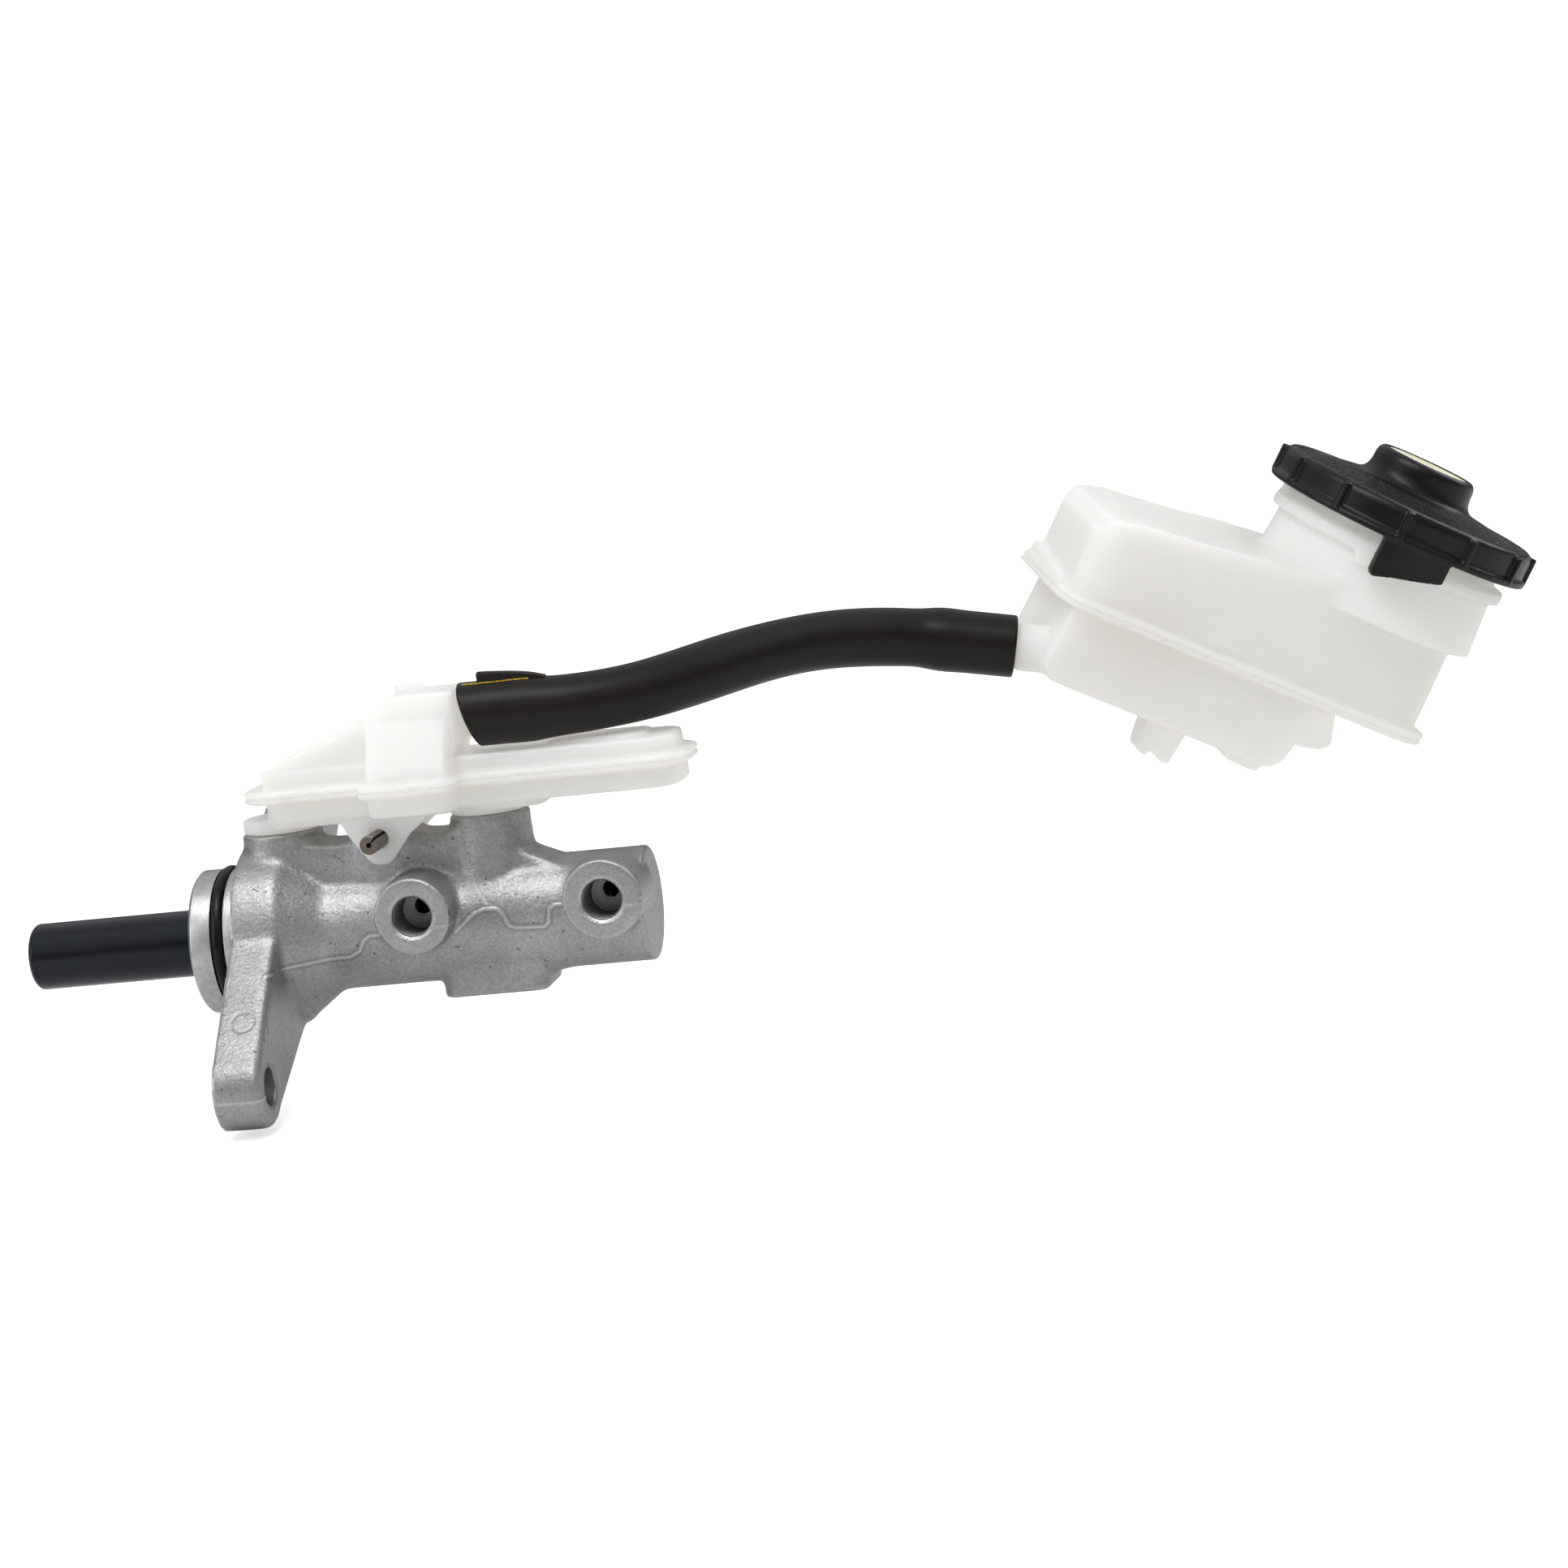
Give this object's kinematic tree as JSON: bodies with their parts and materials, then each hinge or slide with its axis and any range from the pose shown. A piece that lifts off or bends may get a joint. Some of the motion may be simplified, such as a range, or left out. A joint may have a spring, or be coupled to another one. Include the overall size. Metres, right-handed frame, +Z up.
{
  "type": "brake master cylinder",
  "caption": "Tandem brake master cylinder: cast body with an oblique two lug flange, piston stem, side outlet ports, moulded union tank, bent supply hose and remote reservoir with filler cap.",
  "frame": {"origin": "centre of the booster mounting face, on the bore axis", "axes": "+X along the bore towards the closed end, -X towards the pushrod, +Z up towards the reservoir bosses, outlet ports on the -Y side"},
  "size_m": [0.3628, 0.1746, 0.123],
  "materials": {
    "cast_aluminium": "fine cast grain, matte, with machined faces",
    "machined_steel": "turned or drawn steel",
    "black_anodised": "hard anodised, semi gloss",
    "seal_rubber": "satin moulded rubber",
    "hose_rubber": "soft sheen extruded rubber",
    "milky_plastic": "translucent milky white",
    "cap_plastic": "black satin, grained on top",
    "guide_plastic": "glass filled, dull",
    "spring_steel": "drawn wire",
    "roll_pin_steel": "oiled, brown grey",
    "magnet_ferrite": "dark sintered",
    "label_cream": "pale cream, plain",
    "float_plastic": "foamed"
  },
  "bodies": {
    "unit": {"cylinder_body": "cast_aluminium", "pilot_o_ring": "seal_rubber", "rod_guide": "guide_plastic", "rod_seal": "seal_rubber", "guide_retaining_ring": "machined_steel", "primary_spring": "spring_steel", "secondary_spring": "spring_steel", "rear_reservoir_seal": "seal_rubber", "front_reservoir_seal": "seal_rubber", "tank_lower_shell": "milky_plastic", "tank_upper_shell": "milky_plastic", "retaining_pin": "roll_pin_steel", "supply_hose": "hose_rubber", "reservoir_lower_shell": "milky_plastic", "reservoir_upper_shell": "milky_plastic", "filler_strainer": "milky_plastic", "float_guide_post": "milky_plastic"},
    "primary": {"primary_piston": "black_anodised", "primary_cup": "seal_rubber", "primary_spring_seat": "machined_steel"},
    "secondary": {"spring_guide_screw": "machined_steel", "secondary_piston": "machined_steel", "secondary_rear_cup": "seal_rubber", "secondary_front_cup": "seal_rubber", "secondary_spring_seat": "machined_steel"},
    "float": {"level_float": "float_plastic", "float_magnet": "magnet_ferrite"},
    "cap_carrier": {"cap_seal": "seal_rubber"},
    "cap": {"filler_cap": "cap_plastic", "cap_label": "label_cream"}
  },
  "joints": [
    {"name": "primary_stroke", "type": "slide", "parent": "unit", "child": "primary", "axis": [1, 0, 0], "range_m": [0, 0.028], "stiffness_N_per_m": 2500, "deforming": ["primary_spring", "secondary_spring"]},
    {"name": "secondary_stroke", "type": "slide", "parent": "unit", "child": "secondary", "axis": [1, 0, 0], "range_m": [0, 0.014]},
    {"name": "float_travel", "type": "slide", "parent": "unit", "child": "float", "axis": [0.5171, -0.0164, 0.8558], "range_m": [-0.009, 0.012], "stiffness_N_per_m": 20},
    {"name": "cap_lift", "type": "slide", "parent": "unit", "child": "cap_carrier", "axis": [0.5171, -0.0164, 0.8558], "range_m": [0, 0.06]},
    {"name": "cap_turn", "type": "hinge", "parent": "cap_carrier", "child": "cap", "pos_m": [0.27561, 0.0904, 0.06266], "axis": [0.5171, -0.0164, 0.8558], "range_deg": [0, 60]}
  ],
  "couplings": [
    {"joint": "secondary_stroke", "follows": "primary_stroke", "ratio": 0.5}
  ]
}
